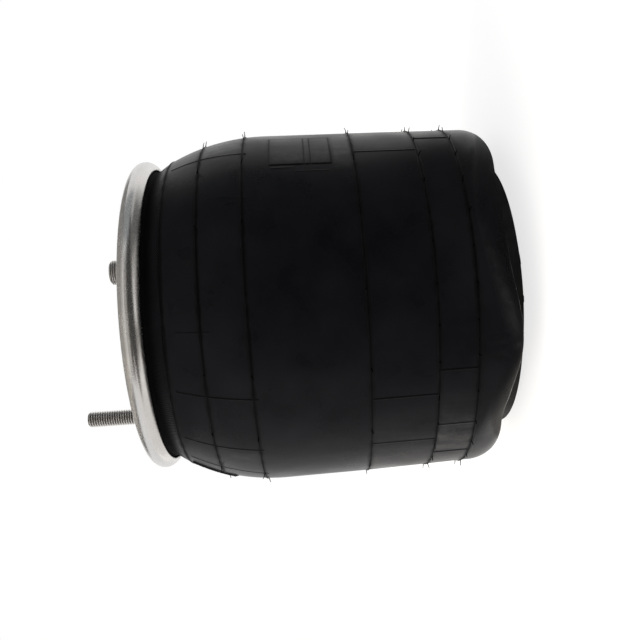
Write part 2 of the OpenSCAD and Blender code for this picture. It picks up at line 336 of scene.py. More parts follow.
@dataclass(frozen=True)
class MetalFinish:
    """Plated or turned metal with fine working marks, dull patches and small nicks."""

    name: str
    dark: Colour
    light: Colour
    smooth: float
    rough: float
    brush: Brush = Brush.NONE
    nick_share: float = 0.0
    has_roots: bool = False
    marks: float = 0.006
    streaks: float = 30.0

    def build(self) -> Material:
        """Builds the material."""
        board = NodeBoard(self.name)
        place = board.position(Space.OBJECT)
        cloud = board.cloud((place, 0.06, 6.0, 0.65), 0.32, 0.68)
        if self.brush is Brush.AROUND:
            angle, radius, height = board.polar(place)
            drawn = board.combine(board.times(angle, self.streaks), radius, height)
            lines = board.noise(drawn, 1.1, 3.0, 0.5)
        else:
            lines = board.noise(place, 1.5, 5.0, 0.65)
        colour = board.mix(cloud, self.dark, self.light)
        colour = board.mix(board.remap(lines, 0.3, 0.7, 0.0, 0.35), colour, self.dark)
        rough = board.remap(board.maths("ADD", cloud, lines), 0.5, 1.5, self.smooth, self.rough)
        if self.nick_share > 0.0:
            nick = board.cloud((board.stretch(place, (0.5, 0.5, 1.4)), 1.0, 3.0, 0.55), 0.72, 0.76)
            colour = board.tint(colour, nick, self.nick_share, grey(0.12))
            rough = board.plus(rough, nick, 0.2)
        if self.has_roots:
            root = board.mask("root")
            colour = board.tint(colour, root, 0.8, grey(0.10, 0.05))
            rough = board.plus(rough, root, 0.2)
        colour = board.tint(colour, board.edges(0.53, 0.6), 0.5, grey(0.85))
        normal = board.bump(lines, self.marks)
        return board.dress(Base_Color=colour, Roughness=rough, Normal=normal, Metallic=1.0)


@dataclass(frozen=True)
class PlasticFinish:
    """Moulded glass-filled plastic with flow marks, a fine grain and pale scuffs on its edges."""

    name: str
    dark: float = 0.0042
    light: float = 0.0085
    gloss: float = 0.09

    def build(self) -> Material:
        """Builds the material."""
        board = NodeBoard(self.name)
        place = board.position(Space.OBJECT)
        flow = board.cloud((board.stretch(place, (0.05, 0.05, 0.016)), 1.0, 6.0, 0.6), 0.35, 0.65)
        scuff = board.cloud((board.stretch(place, (0.12, 0.12, 0.6)), 1.0, 7.0, 0.75), 0.6, 0.74)
        grain = board.noise(place, 1.1, 4.0, 0.6)
        colour = board.mix(flow, grey(self.dark), grey(self.light))
        colour = board.tint(colour, scuff, 0.35, grey(0.022))
        colour = board.tint(colour, board.edges(0.52, 0.6), 0.5, grey(0.04))
        rough = board.remap(board.maths("ADD", flow, grain), 0.4, 1.6, 0.3, 0.46)
        rough = board.plus(rough, scuff, 0.05)
        normal = board.bump(grain, 0.02)
        return board.dress(
            Base_Color=colour, Roughness=rough, Normal=normal, Specular_IOR_Level=self.gloss
        )


@dataclass(frozen=True)
class StageFinish:
    """Plain matt surface of the studio, clear when it is seen from behind.

    A share of it glows white for the camera and in reflections, so that the
    shadow on it stays light.
    """

    name: str
    level: float
    glow: float = 0.0
    warm: float = 0.0
    strength: float = 1.06

    def build(self) -> Material:
        """Builds the material."""
        board = NodeBoard(self.name)
        board.dress(Base_Color=grey(self.level, self.warm), Roughness=0.9, Specular_IOR_Level=0.0)
        path = board.add("ShaderNodeLightPath", {}).outputs
        seen = board.maths("MAXIMUM", path["Is Camera Ray"], path["Is Glossy Ray"])
        seen = board.maths("MAXIMUM", seen, path["Is Transmission Ray"])
        light = {"Color": grey(1.0, self.warm), "Strength": self.strength}
        white = board.add("ShaderNodeEmission", light).outputs[0]
        layers = {0: board.times(seen, self.glow), 1: board.shader.outputs[0], 2: white}
        front = board.add("ShaderNodeMixShader", layers).outputs[0]
        back = board.add("ShaderNodeNewGeometry", {}).outputs["Backfacing"]
        clear = board.add("ShaderNodeBsdfTransparent", {}).outputs[0]
        both = board.add("ShaderNodeMixShader", {0: back, 1: front, 2: clear})
        board.feed(board.tree.nodes["Material Output"].inputs["Surface"], both.outputs[0])
        return board.material


def arc(centre: Point, radius: float, start: float, end: float, steps: int) -> list[Point]:
    """Points along an arc in a section, with angles in degrees."""
    angles = np.radians(np.linspace(start, end, steps + 1))
    return [(centre[0] + radius * math.cos(a), centre[1] + radius * math.sin(a)) for a in angles]


def wrap(radius: Array, height: Array, angles: Array) -> Array:
    """Grid of points from radius and height by row and column."""
    return np.stack([radius * np.cos(angles), radius * np.sin(angles), height], axis=-1)


def revolve(section: Sequence[Point], angles: Array) -> Array:
    """Turns one section line about Z.

    Args:
        section: radius and height of each row.
        angles: angle of each column, in radians.

    Returns:
        Array of rows, columns and coordinates.
    """
    line = np.asarray(section, float)
    flat = np.zeros_like(angles)
    return wrap(line[:, :1] + flat, line[:, 1:] + flat, angles)


def grid(name: str, points: Array, closed: bool, sharp: float) -> Object:
    """Makes a mesh of a grid whose columns go all the way round.

    Args:
        name: name of the piece.
        points: array of rows, columns and coordinates.
        closed: joins the last row to the first. Otherwise both ends get a flat cap.
        sharp: angle in degrees above which an edge is drawn sharp.

    Returns:
        The new object.
    """
    rows, columns = points.shape[:2]
    here = np.arange(rows if closed else rows - 1)[:, None]
    above = (here + 1) % rows
    column = np.arange(columns)[None, :]
    beside = (column + 1) % columns
    corners = ((here, column), (here, beside), (above, beside), (above, column))
    quads = [row * columns + place for row, place in corners]
    faces = np.stack(quads, axis=-1).reshape(-1, 4).tolist()
    if not closed:
        faces.append(list(range(columns - 1, -1, -1)))
        faces.append(list(range((rows - 1) * columns, rows * columns)))
    return make(name, points.reshape(-1, 3), faces, sharp)


def make(name: str, points: Array, faces: list[list[int]], sharp: float) -> Object:
    """Makes a smooth-shaded mesh object that faces outwards.

    Args:
        name: name of the piece.
        points: coordinates of the points, in millimetres.
        faces: point numbers of each face.
        sharp: angle in degrees above which an edge is drawn sharp.

    Returns:
        The new object, linked to the scene.
    """
    mesh = bpy.data.meshes.new(name)
    mesh.from_pydata((points * MM).tolist(), [], faces)
    mesh.update()
    if volume(mesh) < 0.0:
        mesh.flip_normals()
    mesh.shade_smooth()
    mesh.set_sharp_from_angle(angle=math.radians(sharp))
    made = bpy.data.objects.new(name, mesh)
    bpy.context.scene.collection.objects.link(made)
    rest = mesh.attributes.new(Space.REST.value, "FLOAT_VECTOR", "POINT")
    rest.data.foreach_set("vector", points.astype(np.float32).ravel())
    return made


def volume(mesh: Mesh) -> float:
    """Measures a closed mesh.

    Args:
        mesh: the mesh.

    Returns:
        Volume inside it, negative where its faces point inwards.
    """
    mesh.calc_loop_triangles()
    places = np.zeros(len(mesh.vertices) * 3)
    mesh.vertices.foreach_get("co", places)
    corners = np.zeros(len(mesh.loop_triangles) * 3, np.int32)
    mesh.loop_triangles.foreach_get("vertices", corners)
    a, b, c = places.reshape(-1, 3)[corners.reshape(-1, 3).T]
    return float(np.einsum("ij,ij->i", a, np.cross(b, c)).sum() / 6.0)


def mark(piece: Object, name: str, values: Array) -> None:
    """Stores one value for each point of a mesh, for its finish to read."""
    attribute = piece.data.attributes.new(name, "FLOAT", "POINT")
    attribute.data.foreach_set("value", values.astype(np.float32).ravel())


def dress(piece: Object, material: Material) -> None:
    """Gives a piece one material in place of what it had."""
    piece.data.materials.clear()
    piece.data.materials.append(material)


@dataclass(frozen=True)
class RidgeBar:
    """Short mould line along the axis, from one height and angle to another."""

    high: float
    low: float
    angle_high: float
    angle_low: float
    height: float = 0.4
    width: float = 0.7


@dataclass(frozen=True)
class FoldShape:
    """Section of the fold at one angle about the axis.

    The outside runs from the barrel at start to the lowest point at bottom. Its
    fullness is the share of the way to the corner that its tangents reach, and
    0.55 makes it a quarter of an ellipse. The radius is that of the lowest point.
    """

    angle: float
    bottom: float
    start: float
    fullness: float
    radius: float = 110.0


@dataclass(frozen=True)
class Patch:
    """Area between mould lines painted paler than the rest, as painted sheen."""

    high: float
    low: float
    first_angle: float
    last_angle: float
    share: float
    first_fade: float = 6.0
    last_fade: float = 6.0


@dataclass(frozen=True)
class Crease:
    """Short soft groove in the fold."""

    angle: float
    height: float
    length: float
    width: float
    depth: float
    tilt: float


@dataclass(frozen=True)
class Hair:
    """Vent hair, or the knot that is left where one broke off."""

    angle: float
    height: float
    length: float
    radius: float


@dataclass
class SleeveLine:
    """Section of the sleeve and the plate's edge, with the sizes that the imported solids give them."""

    taper: float = 1.75
    shoulder_r: float = 150.0
    neck_drop: float = 2.3
    sheet: float = 2.7
    roll_r: float = 7.3
    lip_angle: float = 5.0
    gap: float = 0.3
    wall: float = 5.5
    piston_wall_r: float = 95.0
    lobe_probe: float = 16.0
    flare_gap: float = 0.65
    seat_round: float = 14.0
    bead_r: float = 4.7
    bead_inset: float = 1.4
    bead_step: float = 0.6
    wire_inset: float = 2.0
    bump_travel: float = 4.0
    rest_gap: float = 0.6
    fold_wall: float = 3.0

    def __post_init__(self) -> None:
        """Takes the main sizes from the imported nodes."""
        plate_high = node_box("bead_plate")[1]
        cover_low, cover_high = node_box("outer_cover")
        self.plate_top = plate_high[2]
        self.roll_centre = (plate_high[0] - self.roll_r, plate_high[2] - self.roll_r)
        self.neck_r = self.roll_centre[0] - self.roll_r * math.sin(math.radians(self.lip_angle)) - self.gap
        self.neck_z = self.roll_centre[1] - self.roll_r - self.neck_drop
        self.sleeve_top = cover_high[2]
        slope = math.radians(self.taper)
        axis_r = cover_high[0] - self.shoulder_r
        rise = math.sqrt(self.shoulder_r**2 - (self.neck_r - axis_r) ** 2)
        self.shoulder_c = (axis_r, self.neck_z - rise)
        self.barrel_top = self.shoulder_c[1] - self.shoulder_r * math.sin(slope)
        self.barrel_r = axis_r + self.shoulder_r * math.cos(slope)
        self.degree = math.radians(1.0) * self.barrel_r
        self.seat_z = node_box("end_closure")[0][2] - self.wall - self.gap
        self.rim_r = node_box("piston")[1][0]
        self.leg_r = self.piston_wall_r + self.gap
        self.lobe_r = (self.radius(cover_low[2] + self.lobe_probe) - self.leg_r) / 2
        self.lobe_c = (self.leg_r + self.lobe_r, cover_low[2] + self.lobe_r)
        self.inner_r = node_box("lower_bead_wire")[1][0] - self.wire_inset

    def radius(self, height: Any) -> Array:
        """Finds the outer radius of neck, shoulder and barrel.

        Args:
            height: one height or many.

        Returns:
            The radius at each height.
        """
        across = np.clip(height - self.shoulder_c[1], -self.shoulder_r, self.shoulder_r)
        round_part = self.shoulder_c[0] + np.sqrt(self.shoulder_r**2 - across**2)
        straight = self.barrel_r - math.tan(math.radians(self.taper)) * (self.barrel_top - height)
        radius = np.where(height > self.barrel_top, round_part, straight)
        return np.where(height > self.neck_z, self.neck_r, radius)

    def piston_radius(self, height: Array) -> Array:
        """Finds the outer radius of the piston's rim, flare and wall.

        Args:
            height: height of each point.

        Returns:
            The radius at each height.
        """
        reach = self.lobe_r + self.flare_gap
        drop = np.clip(self.lobe_c[1] - height, 0.0, reach)
        flare = self.lobe_c[0] - np.sqrt(reach**2 - drop**2)
        return np.minimum(flare, self.rim_r)

    def clear_radius(self, height: Array, skin: float = 0.0) -> Array:
        """Least radius of the fold at each height that still clears the piston at full bump."""
        return self.piston_radius(height - self.bump_travel - skin) + self.rest_gap + skin


@dataclass
class Sleeve:
    """Rubber sleeve: the outside with its mould lines and fold, the leg on the piston and the vent hairs.

    Angles are in degrees about the axis. Tables by angle hold pairs of an angle and a value.
    """

    line: SleeveLine
    rings: tuple[float, ...] = (245.0, 220.0, 189.5, 113.5, 69.3, 43.8)
    ring_height: float = 0.6
    ring_width: float = 1.1
    ring_sizes: tuple[float, ...] = (1.3, 1.0, 1.0, 1.0, 1.0, 1.0)
    ring_rows: tuple[float, ...] = (-3.0, -2.0, -1.3, -0.9, -0.45, 0.0, 0.45, 0.9, 1.3, 2.0, 3.0)
    bead_share: float = 0.28
    # Width and strength of the painted shade beside each ring.
    line_shade_width: float = 1.7
    line_shade_share: float = 0.6
    full_bar: float = 0.4
    bars: tuple[RidgeBar, ...] = table(
        RidgeBar,
        (241, 187, -17.4, -22), (241, 187, -101.5, -102.5), (241, 187, -122, -123),
        (210, 187, -41, -43, 0.25), (236, 215, -82, -82, 0.25), (241, 187, -136, -141, 0.3),
        (242, 213, -143.5, -150, 1.5, 0.9), (153, 131, -33.2, -33.4, 0.15), (170, 158, -31.4, -31.4, 0.15),
        (113.5, 69.3, -23.8, -23.8), (113.5, 69.3, -105.5, -105.5), (113.5, 69.3, -124.7, -124.7),
        (69.3, 43.8, -14.7, -14.7), (69.3, 43.8, -97.7, -97.7), (69.3, 43.8, -117.8, -117.8),
        (69.3, 43.8, -134.3, -134.3),
    )
    panel_z: Point = (129.0, 171.0)
    panel_angle: Point = (-30.0, -10.0)
    panel_dividers: Point = (142.9, 147.1)
    panel_height: float = 0.45
    panel_edge: float = 0.5
    panel_line: float = 0.6
    panel_rows: tuple[float, ...] = (-0.7, -0.25, 0.25, 0.7)
    groove_depth: float = 0.9
    # Strength of the painted shade along the panel's border and dividers.
    panel_line_shade: float = 0.8
    # Patches of painted sheen: high, low, first and last angle, share, and the fades at both ends.
    patches: tuple[Patch, ...] = table(
        Patch,
        (241, 220, -180, -122.5, 0.006, 60), (220, 189.5, -180, -122.5, 0.016, 60),
        (241, 189.5, -32, -18, 0.022, 30, 1), (241, 189.5, -19.5, 40, 0.085, 6, 90),
        (189.5, 113.5, -180, -112, 0.012, 60, 85), (171, 129, -30, -10, 0.034),
        (128, 114, -33, 30, 0.05, 16, 90), (113.5, 69.3, -180, -124.7, 0.014, 60),
        (113.5, 69.3, -126, -108, 0.012, 1, 40), (69.3, 43.8, -119, -104, 0.020, 1, 34),
        (69.3, 43.8, -134.3, -117.8, 0.05), (69.3, 43.8, -180, -134.3, 0.028, 60),
        (69.3, 43.8, -14.7, 40, 0.034, 6, 90), (113.5, 69.3, -23.8, 40, 0.018, 6, 90),
    )
    patch_edge: float = 1.5
    fold: tuple[FoldShape, ...] = table(
        FoldShape,
        (-180, 12, 33, 0.55, 108), (-165, 12.8, 36, 0.52, 108), (-150, 13.6, 39, 0.54, 109),
        (-137, 16.4, 41, 0.47), (-128.5, 18.6, 42, 0.38), (-121.8, 18.6, 41, 0.34),
        (-114.7, 16.5, 38, 0.34), (-108.5, 15, 35, 0.38), (-103.4, 13, 32, 0.45),
        (-98, 11.8, 29, 0.57), (-94, 11.3, 27.5, 0.66), (-89.7, 11.5, 27, 0.68),
        (-86, 11.6, 28, 0.62), (-82, 12.4, 30, 0.50), (-77, 14, 32.5, 0.40),
        (-68, 16.7, 36, 0.32), (-61, 17.2, 38.5, 0.31), (-53, 17.6, 40, 0.34),
        (-39, 16.8, 39, 0.42, 109), (-26, 13.7, 35, 0.50, 108), (-15, 10, 32, 0.53, 107),
        (1.5, 6.2, 30, 0.54, 107), (30, 9.5, 31.5, 0.55, 108), (75, 12.5, 33, 0.55, 108),
        (120, 11.5, 32, 0.55, 108), (150, 13, 33, 0.55, 108),
    )
    fold_top: float = 42.0
    fold_blur: float = 2.2
    blur_reach: int = 12
    fold_steps: int = 34
    creases: tuple[Crease, ...] = table(
        Crease, (-88, 24, 8, 1.6, 0.35, 20), (-91, 29, 9, 1.8, 0.35, -10), (-95, 26, 7, 1.6, 0.3, 35)
    )
    # Painted highlights on the fold, by angle: a soft streak along its ridge and a thin line along its edge.
    ridge_highlight: tuple[Point, ...] = (
        (-92, 0), (-87, 0.020), (-80, 0.023), (-72, 0.017), (-62, 0.007), (-52, 0)
    )
    ridge_share: tuple[Point, ...] = ((-90, 0.36), (-80, 0.32), (-70, 0.24), (-58, 0.12))
    ridge_spread: float = 0.20
    edge_highlight: tuple[Point, ...] = (
        (-126, 0), (-119, 1), (-99, 1), (-95, 0.3), (-91, 0.05), (-86, 0.3), (-80, 0.4), (-70, 0.3), (-54, 0)
    )
    edge_share: tuple[Point, ...] = (
        (-124, 0.82), (-116, 0.79), (-108, 0.765), (-100, 0.72),
        (-92, 0.69), (-84, 0.78), (-76, 0.86), (-60, 0.90),
    )
    edge_spread: float = 0.042
    fold_dust: tuple[Point, ...] = (
        (-180, 0), (-150, 0.02), (-126, 0.018), (-116, 0), (-28, 0), (-18, 0.03), (20, 0.02), (60, 0)
    )
    dust_share: float = 0.25
    dust_spread: float = 0.3
    scrape_wear: float = 0.03
    scrape_angle: float = -92.0
    scrape_width: float = 0.8
    scrape_share: float = 0.4
    scrape_spread: float = 0.16
    angle_step: float = 0.09
    column_step: float = 1.17
    close_columns: Point = (-134.55, -30.0)
    bar_step: float = 0.18
    row_step: float = 4.0
    close_row_step: float = 1.3
    close_rows_from: float = 213.0
    neck_clear: float = 0.2
    slow_wave: float = 0.22
    fast_wave: float = 0.12
    wave_fade: float = 20.0
    wave_rows: int = 8
    leg_rise: float = 17.0
    leg_steps: int = 14
    leg_join: float = 6.0
    leg_foot: float = 27.0
    leg_rows: int = 24
    lining_probe: float = 50.0
    lining_from: float = 52.0
    lining_count: int = 18
    lining_steps: int = 12
    neck_recess: float = 1.3
    recess_power: float = 1.6
    neck_bead_r: float = 4.3
    hair_r: float = 0.42
    hair_length: Point = (3.6, 5.4)
    hair_steps: tuple[float, ...] = (22.0, 22.0, 22.0, 11.0, 11.0)
    hair_phase: float = 1.5
    hair_sink: float = 0.4
    hair_taper: float = 0.4
    hair_sides: int = 6
    hair_levels: int = 4
    knot_length: Point = (0.9, 1.4)
    knot_r: Point = (0.56, 0.84)
    stub_apart: Point = (4.0, 7.0)
    stub_length: Point = (0.8, 1.2)
    stub_r: Point = (0.42, 0.63)

    def all_bars(self) -> list[RidgeBar]:
        """The mould lines along the axis, repeated on the far half of the mould."""
        far = [
            replace(bar, angle_high=bar.angle_high + HALF_TURN, angle_low=bar.angle_low + HALF_TURN)
            for bar in self.bars
        ]
        return [*self.bars, *far]

    def columns(self) -> Array:
        """Angles of the grid's columns, closer together at the mould lines along the axis."""
        step = self.column_step
        angles = [*np.arange(0.0, 360.0, step), *np.arange(*self.close_columns, step)]
        for bar in self.all_bars():
            low, high = sorted((bar.angle_high, bar.angle_low))
            angles += [*np.arange(low - 2 * self.bar_step, high + 2 * self.bar_step + 0.01, self.bar_step)]
        for edge in self.panel_angle:
            angles += [edge + steps * self.angle_step for steps in (-3, -1, 1, 3)]
        places = np.round(np.array(angles) / self.angle_step).astype(int)
        turn = round(360.0 / self.angle_step)
        return np.unique((places + turn // 2) % turn - turn // 2) * self.angle_step

    def heights(self) -> Array:
        """Heights of the grid's rows from neck to fold, closer together at the mould lines."""
        neck = self.line.neck_z
        rows = [*np.arange(self.fold_top, neck, self.row_step)]
        rows += [*np.arange(self.close_rows_from, neck, self.close_row_step)]
        for ring in self.rings:
            rows += [ring + self.ring_width * step for step in self.ring_rows]
        for edge in (*self.panel_z, *self.panel_dividers):
            rows += [edge + step for step in self.panel_rows]
        for bar in self.bars:
            rows += [bar.high, bar.low]
        rows = [z for z in rows if self.fold_top <= z < neck - self.neck_clear]
        return np.unique(np.round(rows, 2))[::-1]

    @staticmethod
    def beads(turn: Array, number: int) -> Array:
        """Uneven swelling along a mould line, from its angles in radians and its number."""
        slow = np.sin(29 * turn + 2.1 * number) * np.sin(17 * turn - number)
        return slow + 0.5 * np.sin(61 * turn + number)

    def relief(self, height: Array, angle: Array) -> tuple[Array, Array]:
        """Raises the mould lines and the panel above the plain barrel.

        Args:
            height: height of each point.
            angle: angle of each point.

        Returns:
            The rise of each point, and the share of painted shade on and beside the mould lines, from 0 to 1.
        """
        rise = np.zeros(np.broadcast(height, angle).shape)
        thin = np.zeros_like(rise)
        for number, ring in enumerate(self.rings):
            beads = self.beads(np.radians(angle), number)
            width = self.ring_width * self.ring_sizes[number] * (1.0 + self.bead_share * beads)
            shape = hump(height - ring, width)
            rise += self.ring_height * shape
            # Painted shade beside the ring, uneven along it.
            line_shade = self.line_shade_share * bell(height - ring, self.line_shade_width) * (1.0 + 0.5 * beads)
            thin = np.maximum(thin, np.maximum(shape**0.6, np.clip(line_shade, 0.0, 1.0)))
        for bar in self.all_bars():
            share = (bar.high - height) / (bar.high - bar.low)
            middle = bar.angle_high + share * (bar.angle_low - bar.angle_high)
            apart = (angle - middle + HALF_TURN) % 360.0 - HALF_TURN
            shape = hump(np.radians(apart) * self.line.radius(height), bar.width)
            shape = shape * ((share >= 0.0) & (share <= 1.0))
            rise = np.maximum(rise, bar.height * shape)
            thin = np.maximum(thin, shape**0.7 * min(1.0, bar.height / self.full_bar))
        panel, edge = self.panel(height, angle)
        return rise + panel, np.maximum(thin, edge)

    def panel(self, height: Array, angle: Array) -> tuple[Array, Array]:
        """Raises the bare panel on the barrel.

        Args:
            height: height of each point.
            angle: angle of each point.

        Returns:
            The rise of each point, and the painted shade along the border and in the dividers, from 0 to 1.
        """
        low, high = self.panel_z
        left, right = self.panel_angle
        sideways = np.minimum(angle - left, right - angle) * self.line.degree
        inside = np.minimum(np.minimum(height - low, high - height), sideways)
        plateau = np.clip(inside / self.panel_edge + 0.5, 0.0, 1.0)
        groove = sum(bell(height - middle, self.panel_line) for middle in self.panel_dividers) * plateau
        border = bell(inside, self.panel_line)
        rise = self.panel_height * (plateau - self.groove_depth * groove)
        return rise, np.maximum(border, groove) * self.panel_line_shade

    def sheen_patches(self, height: Array, angle: Array) -> Array:
        """Lays out the painted sheen on the barrel, as rubber painted paler in patches.

        Args:
            height: height of each point.
            angle: angle of each point.

        Returns:
            Its share at each point, from 0 to 1.
        """
        share = np.zeros(np.broadcast(height, angle).shape)
        for patch in self.patches:
            upright = np.minimum(patch.high - height, height - patch.low) / self.patch_edge
            left = (angle - patch.first_angle) * self.line.degree / patch.first_fade
            right = (patch.last_angle - angle) * self.line.degree / patch.last_fade
            inside = np.minimum(upright, np.minimum(left, right))
            share = np.maximum(share, patch.share * np.clip(inside, 0.0, 1.0))
        return share

    def unevenness(self, height: Array, angle: Array) -> Array:
        """Waves the rubber by a few tenths of a millimetre and sinks it below the plate.

        Args:
            height: height of each point.
            angle: angle of each point.

        Returns:
            What each point's radius gains.
        """
        turn = np.radians(angle)
        waves = self.slow_wave * np.sin(3 * turn + 0.9 + height / 41.0)
        waves = waves + self.fast_wave * np.sin(7 * turn - height / 23.0)
        up = np.clip((height - self.rings[0]) / (self.line.neck_z - self.rings[0]), 0.0, 1.0)
        fade = np.clip((self.line.neck_z - height) / self.wave_fade, 0.0, 1.0)
        return waves * fade - self.neck_recess * up**self.recess_power

    def fold_values(self, angle: Array) -> tuple[Array, ...]:
        """Runs the fold's sizes smoothly from one given section to the next.

        Args:
            angle: angle of each column.

        Returns:
            Lowest height, height where the barrel starts to turn, fullness and radius of the lowest point.
        """
        reach = self.blur_reach
        even = np.arange(-HALF_TURN, HALF_TURN, 1.0)
        kernel = np.exp(-0.5 * (np.arange(-reach, reach + 1) / self.fold_blur) ** 2)
        kernel /= kernel.sum()
        at = np.array([shape.angle for shape in self.fold])
        found = []
        for name in ("bottom", "start", "fullness", "radius"):
            values = np.array([getattr(shape, name) for shape in self.fold])
            curve = np.interp(even, at, values, period=360.0)
            padded = np.concatenate([curve[-reach:], curve, curve[:reach]])
            smooth = np.convolve(padded, kernel, mode="valid")
            found.append(np.interp(angle, even, smooth, period=360.0))
        return tuple(found)

    def fold_rows(self, angle: Array) -> tuple[Array, Array, Array]:
        """Shapes the rows round the fold, from the barrel to the leg.

        Args:
            angle: angle of each column.

        Returns:
            Radius, height, and the share of painted highlight, dust and scrape from 0 to 1, by row and
            column.
        """
        bottom, start, fullness, radius = self.fold_values(angle)
        flat = np.zeros_like(angle)
        rim, leg_r = self.line.radius(start), self.line.leg_r
        ridge_highlight, ridge_share = along(angle, self.ridge_highlight), along(angle, self.ridge_share)
        edge_highlight, edge_share = along(angle, self.edge_highlight), along(angle, self.edge_share)
        dust = along(angle, self.fold_dust)
        scrape = self.scrape_wear * bell(angle - self.scrape_angle, self.scrape_width)
        rows = []
        for share in (0.33, 0.66, 1.0):
            height = self.fold_top + (start - self.fold_top) * share
            rows.append((self.line.radius(height), height, 0.5 * dust))
        for share in np.linspace(0.0, 1.0, self.fold_steps + 1)[1:]:
            rest = 1.0 - share
            first, second = 3 * rest * rest * share, 3 * rest * share * share
            wide = rim * (rest**3 + first + fullness * second)
            wide = wide + radius * (share**3 + (1 - fullness) * second)
            high = start * (rest**3 + (1 - fullness) * first)
            high = high + bottom * (share**3 + second + fullness * first)
            # Painted highlights along the fold's ridge and edge, then dust and a scrape.
            dust_and_painted_sheen = ridge_highlight * bell(share - ridge_share, self.ridge_spread)
            dust_and_painted_sheen = dust_and_painted_sheen + edge_highlight * bell(share - edge_share, self.edge_spread)
            dust_and_painted_sheen = dust_and_painted_sheen + dust * bell(share - self.dust_share, self.dust_spread)
            dust_and_painted_sheen = dust_and_painted_sheen + scrape * bell(share - self.scrape_share, self.scrape_spread)
            rows.append((wide, high, dust_and_painted_sheen))
        for turn in np.radians(np.linspace(0.0, 90.0, self.leg_steps + 1)[1:]):
            wide = radius - (radius - leg_r) * math.sin(turn)
            rows.append((wide, bottom + self.leg_rise * (1.0 - math.cos(turn)), flat))
        for share in (0.5, 1.0):
            rows.append((leg_r + flat, bottom + self.leg_rise + self.leg_join * share, flat))
        wide, high, dust_and_painted_sheen = np.array(rows).swapaxes(0, 1)
        wide = np.maximum(wide, self.line.clear_radius(high))
        return *self.crease(wide, high, angle), dust_and_painted_sheen

    def crease(self, wide: Array, high: Array, angle: Array) -> tuple[Array, Array]:
        """Presses the short grooves into the outside of the fold.

        Args:
            wide: radius by row and column.
            high: height by row and column.
            angle: angle of each column.

        Returns:
            The new radius and height.
        """
        along_r, along_z = np.gradient(wide, axis=0), np.gradient(high, axis=0)
        length = np.hypot(along_r, along_z) + 1e-9
        pressed = np.zeros_like(wide)
        for crease in self.creases:
            around = np.radians(angle - crease.angle)[None, :] * self.line.barrel_r
            up = high - crease.height
            turn = math.radians(crease.tilt)
            lengthwise = up * math.cos(turn) + around * math.sin(turn)
            across = around * math.cos(turn) - up * math.sin(turn)
            pressed += crease.depth * bell(lengthwise, crease.length) * bell(across, crease.width)
        pressed[self.fold_steps + 2:] = 0.0
        return wide + pressed * along_z / length, high - pressed * along_r / length

    def lining_rows(self, angle: Array) -> tuple[Array, Array]:
        """Shapes the rows along the inside, from the leg back up to the neck.

        Args:
            angle: angle of each column.

        Returns:
            Radius and height, by row and column.
        """
        line, flat = self.line, np.zeros_like(angle)
        bottom = self.fold_values(angle)[0]
        leg = line.leg_r + line.wall
        turn_r = (line.radius(self.lining_probe) - line.wall - leg) / 2
        middle = bottom + line.wall + turn_r
        rows = [(leg + flat, bottom + self.leg_rise + self.leg_join)]
        for turn in np.radians(np.linspace(HALF_TURN, 360.0, self.lining_steps + 1)):
            rows.append((leg + turn_r + turn_r * math.cos(turn) + flat, middle + turn_r * math.sin(turn)))
        for height in [*np.linspace(self.lining_from, line.neck_z, self.lining_count), line.sleeve_top]:
            rows.append((line.radius(height) - line.wall + flat, height + flat))
        wide, high = np.array(rows).swapaxes(0, 1)
        return np.maximum(wide, line.clear_radius(high, line.fold_wall)), high

    def build_outside(self, material: Material) -> Object:
        """Builds the sleeve from the neck round the fold to the start of the leg.

        Args:
            material: finish of the rubber.

        Returns:
            The piece.
        """
        angle = self.columns()
        flat = np.zeros_like(angle)
        height = self.heights()[:, None] + flat
        rise, thin = self.relief(height, angle[None, :])
        barrel = self.line.radius(height) + rise + self.unevenness(height, angle)
        fold_r, fold_z, fold_highlight_and_dust = self.fold_rows(angle)
        first = slice(self.wave_rows)
        fade = np.linspace(1.0, 0.0, self.wave_rows)[:, None]
        fold_r[first] += self.unevenness(fold_z[first], angle) * fade
        lining_r, lining_z = self.lining_rows(angle)
        neck = arc(self.line.roll_centre, self.neck_bead_r, 90.0, -75.0, 10)
        neck = np.array([*neck, (self.line.neck_r - self.neck_recess, self.line.neck_z)])
        radius = np.concatenate([neck[:, :1] + flat, barrel, fold_r, lining_r])
        level = np.concatenate([neck[:, 1:] + flat, height, fold_z, lining_z])
        piece = grid("sleeve_outside", wrap(radius, level, np.radians(angle)), True, 70.0)
        ridge, dust_and_painted_sheen = np.zeros_like(radius), np.zeros_like(radius)
        fold_at = len(neck) + len(barrel)
        ridge[len(neck):fold_at] = thin
        # Pale mask: painted sheen on the barrel's patches, and the fold's painted highlights, dust and
        # scrape.
        dust_and_painted_sheen[len(neck):fold_at] = self.sheen_patches(height, angle[None, :])
        dust_and_painted_sheen[fold_at:fold_at + len(fold_highlight_and_dust)] = fold_highlight_and_dust
        mark(piece, "ridge", ridge)
        mark(piece, "dust_and_painted_sheen", dust_and_painted_sheen)
        dress(piece, material)
        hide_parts("outer_cover", "second_ply", "first_ply", "inner_liner")
        return self.bend(piece)

    def bend(self, piece: Object) -> Object:
        """Bakes the piece's placement into its mesh."""
        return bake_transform(piece)

